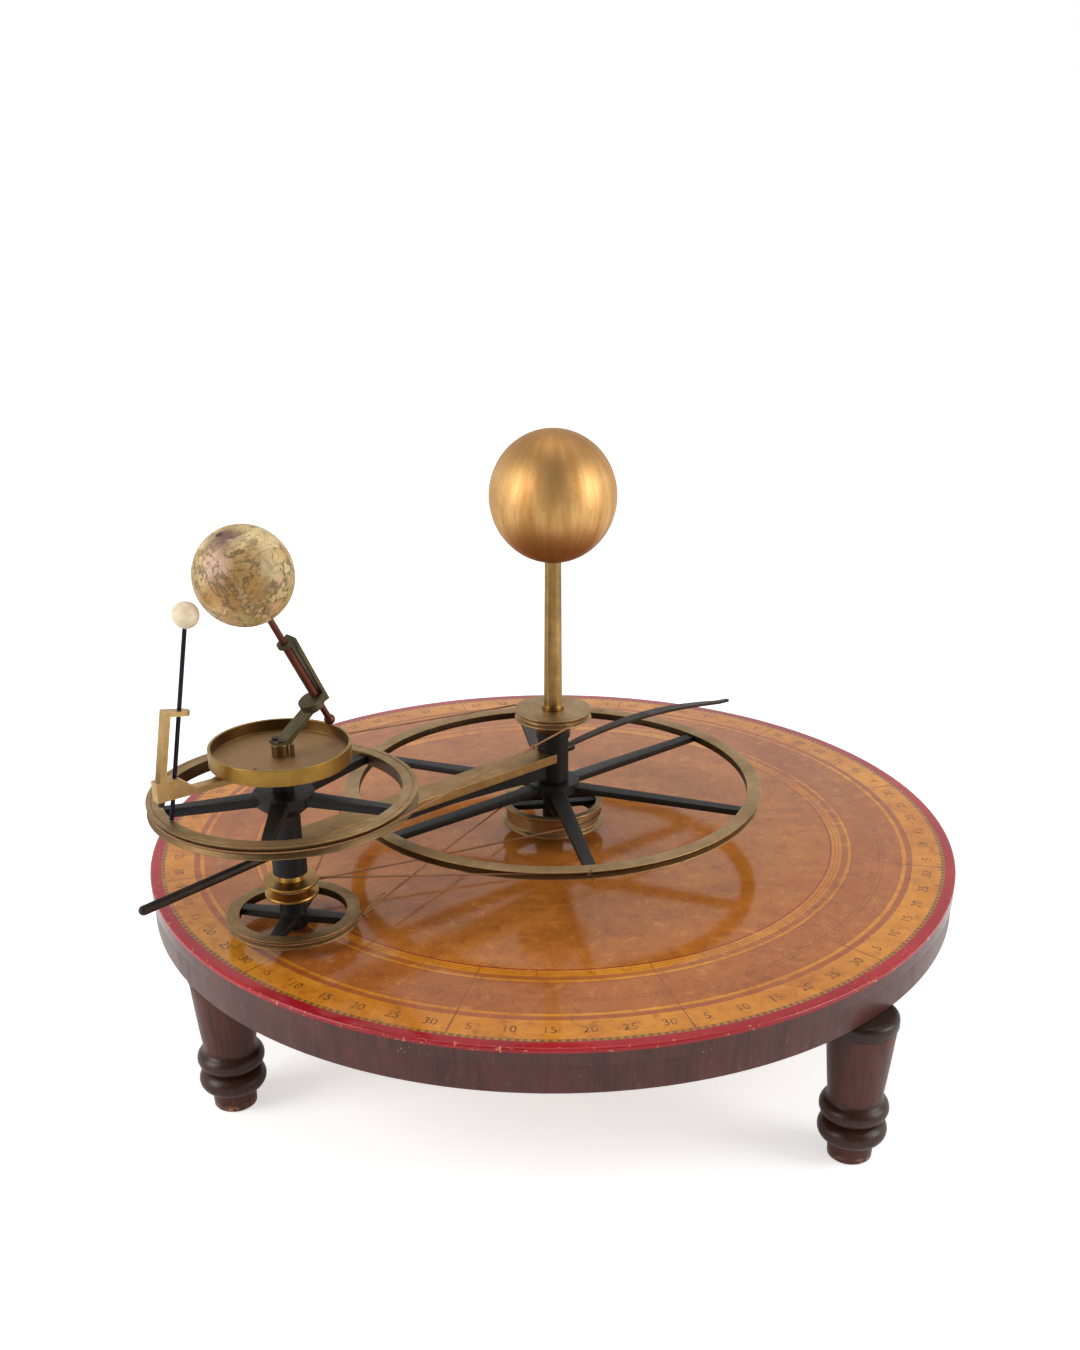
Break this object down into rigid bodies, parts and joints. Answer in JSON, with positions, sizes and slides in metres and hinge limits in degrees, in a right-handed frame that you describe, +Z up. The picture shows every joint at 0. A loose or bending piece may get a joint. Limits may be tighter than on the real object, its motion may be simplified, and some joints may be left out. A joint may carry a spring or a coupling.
{
  "type": "tellurion",
  "caption": "Sun, earth and moon demonstration machine with cord-driven wheels on a swinging arm over a round calendar table on turned legs.",
  "frame": {"origin": "on the floor under the centre column, in the middle of the four legs' table", "axes": "+Z up along the centre column; the arm points to azimuth -138 degrees, counted from +X towards +Y"},
  "size_m": [0.61, 0.61, 0.4552],
  "materials": {
    "veneer": "varnished table top with a painted red edge and a calendar scale",
    "mahogany": "dark polished wood with scuffs",
    "leg_wood": "dark polished wood, blackened beads",
    "batten_wood": "plain unpolished wood",
    "brass": "aged lacquered brass",
    "black_iron": "black paint over cast metal, rubbed at the edges",
    "steel": "dull turned steel",
    "dark_steel": "browned steel",
    "gilding": "gilt over turned wood, slightly rubbed",
    "ivory": "polished bone white",
    "globe_paper": null,
    "cord": "twisted brown string",
    "spindle_steel": "rusty brown steel",
    "bracket_brass": "darkened grey-green brass"
  },
  "bodies": {
    "base": {"table_top": "veneer", "apron_hoop": "mahogany", "batten_lower": "batten_wood", "batten_upper": "batten_wood", "leg_front_right": "leg_wood", "leg_front_left": "leg_wood", "leg_back_left": "leg_wood", "leg_back_right": "leg_wood", "centre_rod": "steel", "rod_nut": "dark_steel", "base_pulley_rim": "brass", "base_pulley_spider": "black_iron", "hub_spacer": "black_iron", "big_wheel_rim": "brass", "big_wheel_spider": "black_iron", "top_pulley": "brass", "sun_tube": "brass", "sun_ball": "gilding"},
    "arm": {"centre_sleeve": "black_iron", "arm_bar": "brass", "arm_rib": "black_iron", "date_pointer": "dark_steel", "end_sleeve": "black_iron", "arm_handle": "dark_steel", "arm_screws": "dark_steel", "moon_cord": "cord", "earth_cord": "cord", "ring_cord": "cord"},
    "ring_wheel": {"ring_wheel_rim": "brass", "ring_wheel_spider": "black_iron"},
    "earth_post": {"lower_wheel_rim": "brass", "lower_wheel_spider": "black_iron", "earth_spindle": "steel", "tray": "brass", "tray_boss": "brass", "tray_peg": "brass", "tilt_bracket": "bracket_brass", "bracket_screws": "dark_steel"},
    "moon_carrier": {"moon_pulley": "brass", "moon_tube": "brass", "moon_hub": "black_iron", "moon_arm": "brass", "moon_arm_pin": "dark_steel"},
    "moon_stem": {"moon_rod": "dark_steel", "moon_ball": "ivory"},
    "earth_globe": {"globe_spindle": "spindle_steel", "spindle_knob": "spindle_steel", "globe": "globe_paper"}
  },
  "joints": [
    {"name": "arm_orbit", "type": "hinge", "parent": "base", "child": "arm", "pos_m": [0, 0, 0.19184], "axis": [0, 0, 1], "continuous": true},
    {"name": "ring_turn", "type": "hinge", "parent": "arm", "child": "ring_wheel", "pos_m": [-0.17613, -0.15858, 0.236], "axis": [0, 0, 1], "continuous": true},
    {"name": "earth_turn", "type": "hinge", "parent": "arm", "child": "earth_post", "pos_m": [-0.17613, -0.15858, 0.152], "axis": [0, 0, 1], "continuous": true},
    {"name": "moon_turn", "type": "hinge", "parent": "arm", "child": "moon_carrier", "pos_m": [-0.17613, -0.15858, 0.1763], "axis": [0, 0, 1], "continuous": true},
    {"name": "globe_spin", "type": "hinge", "parent": "earth_post", "child": "earth_globe", "pos_m": [-0.18757, -0.16889, 0.3983], "axis": [-0.3374, -0.3038, 0.891], "continuous": true},
    {"name": "moon_lift", "type": "slide", "parent": "moon_carrier", "child": "moon_stem", "axis": [0.1436, 0.1122, 0.9833], "range_m": [0, 0.005]}
  ],
  "couplings": [
    {"joint": "ring_turn", "follows": "arm_orbit", "ratio": -0.31155},
    {"joint": "earth_turn", "follows": "arm_orbit", "ratio": 0.85949},
    {"joint": "moon_turn", "follows": "arm_orbit", "ratio": 12.355}
  ]
}
